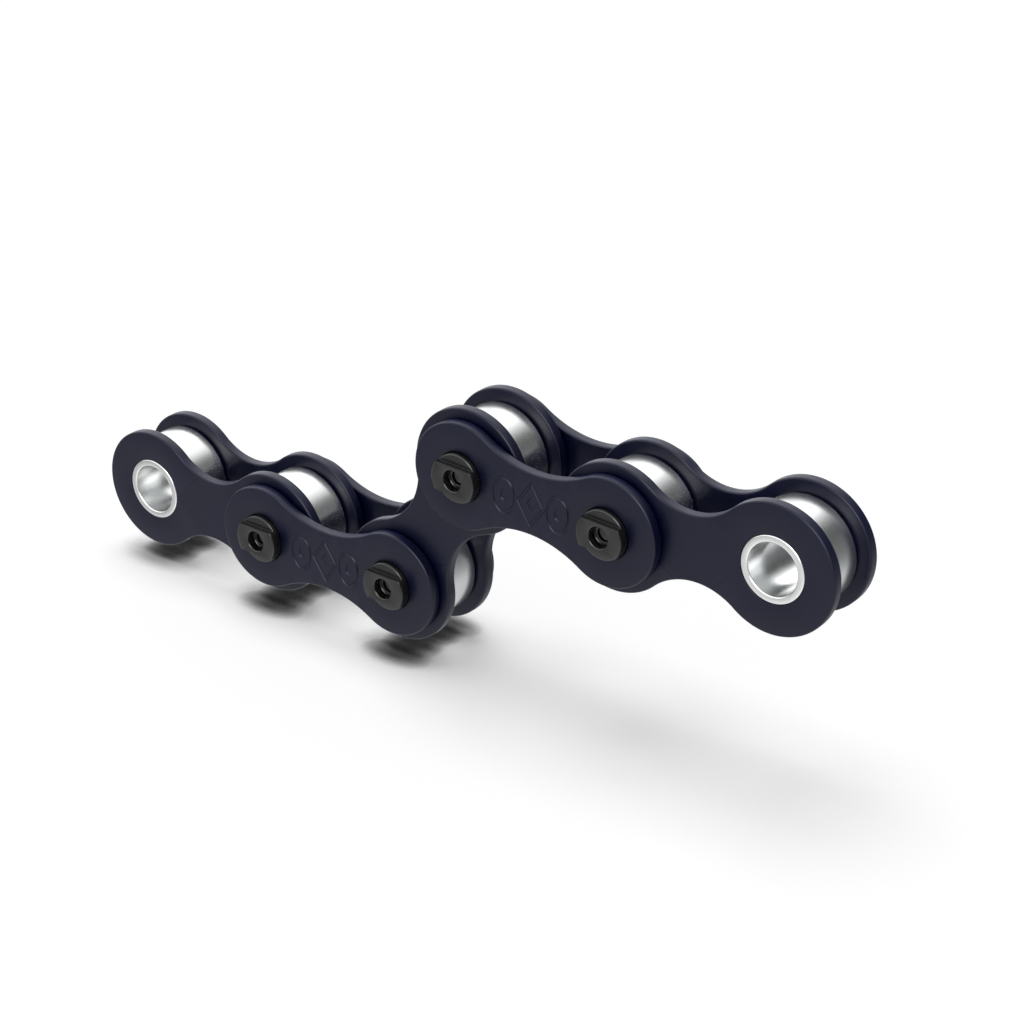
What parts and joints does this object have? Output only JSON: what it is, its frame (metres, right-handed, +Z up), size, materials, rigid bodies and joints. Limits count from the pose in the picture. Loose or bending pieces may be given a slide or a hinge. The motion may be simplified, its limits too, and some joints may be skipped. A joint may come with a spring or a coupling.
{
  "type": "roller chain",
  "caption": "Short open-ended length of roller chain, with inner and outer link plates, pins, bushes and free-turning rollers, bent in a step.",
  "frame": {"origin": "on the axis of the open bush at the left end, at the middle of the chain's width", "axes": "+X runs along the first link towards the other end, +Y runs along the pins from the marked front plates to the back plates, +Z is up"},
  "size_m": [0.0671, 0.0092, 0.0206],
  "materials": {
    "inner_plate_steel": "blued steel, satin, with fine tumbling marks",
    "outer_plate_steel": "blued steel, satin, with fine tumbling marks",
    "bush_steel": "bright turned steel",
    "roller_steel": "bright ground steel",
    "pin_steel": "black oxide on ground steel, with polished edges"
  },
  "bodies": {
    "inner_link_1": {"inner_link_1_front_plate": "inner_plate_steel", "inner_link_1_back_plate": "inner_plate_steel", "bush_1": "bush_steel", "bush_2": "bush_steel"},
    "inner_link_2": {"inner_link_2_front_plate": "inner_plate_steel", "inner_link_2_back_plate": "inner_plate_steel", "bush_3": "bush_steel", "bush_4": "bush_steel"},
    "inner_link_3": {"inner_link_3_front_plate": "inner_plate_steel", "inner_link_3_back_plate": "inner_plate_steel", "bush_5": "bush_steel", "bush_6": "bush_steel"},
    "outer_link_1": {"outer_link_1_front_plate": "outer_plate_steel", "outer_link_1_back_plate": "outer_plate_steel", "pin_1": "pin_steel", "pin_2": "pin_steel"},
    "outer_link_2": {"outer_link_2_front_plate": "outer_plate_steel", "outer_link_2_back_plate": "outer_plate_steel", "pin_3": "pin_steel", "pin_4": "pin_steel"},
    "roller_1": {"roller_1": "roller_steel"},
    "roller_2": {"roller_2": "roller_steel"},
    "roller_3": {"roller_3": "roller_steel"},
    "roller_4": {"roller_4": "roller_steel"},
    "roller_5": {"roller_5": "roller_steel"},
    "roller_6": {"roller_6": "roller_steel"}
  },
  "joints": [
    {"name": "link_pivot_1", "type": "hinge", "parent": "inner_link_1", "child": "outer_link_1", "pos_m": [0.0127, 0, 0], "axis": [0, -1, 0], "range_deg": [-62, 62]},
    {"name": "link_pivot_2", "type": "hinge", "parent": "outer_link_1", "child": "inner_link_2", "pos_m": [0.0254, 0, 0], "axis": [0, -1, 0], "range_deg": [-120.1, 3.9]},
    {"name": "link_pivot_3", "type": "hinge", "parent": "inner_link_2", "child": "outer_link_2", "pos_m": [0.03211, 0, 0.01078], "axis": [0, -1, 0], "range_deg": [-1.4, 122.6]},
    {"name": "link_pivot_4", "type": "hinge", "parent": "outer_link_2", "child": "inner_link_3", "pos_m": [0.0448, 0, 0.01023], "axis": [0, -1, 0], "range_deg": [-68.2, 55.8]},
    {"name": "roller_spin_1", "type": "hinge", "parent": "inner_link_1", "child": "roller_1", "pos_m": [0, 0, 0], "axis": [0, -1, 0], "continuous": true},
    {"name": "roller_spin_2", "type": "hinge", "parent": "inner_link_1", "child": "roller_2", "pos_m": [0.0127, 0, 0], "axis": [0, -1, 0], "continuous": true},
    {"name": "roller_spin_3", "type": "hinge", "parent": "inner_link_2", "child": "roller_3", "pos_m": [0.0254, 0, 0], "axis": [0, -1, 0], "continuous": true},
    {"name": "roller_spin_4", "type": "hinge", "parent": "inner_link_2", "child": "roller_4", "pos_m": [0.03211, 0, 0.01078], "axis": [0, -1, 0], "continuous": true},
    {"name": "roller_spin_5", "type": "hinge", "parent": "inner_link_3", "child": "roller_5", "pos_m": [0.0448, 0, 0.01023], "axis": [0, -1, 0], "continuous": true},
    {"name": "roller_spin_6", "type": "hinge", "parent": "inner_link_3", "child": "roller_6", "pos_m": [0.05747, 0, 0.01105], "axis": [0, -1, 0], "continuous": true}
  ]
}
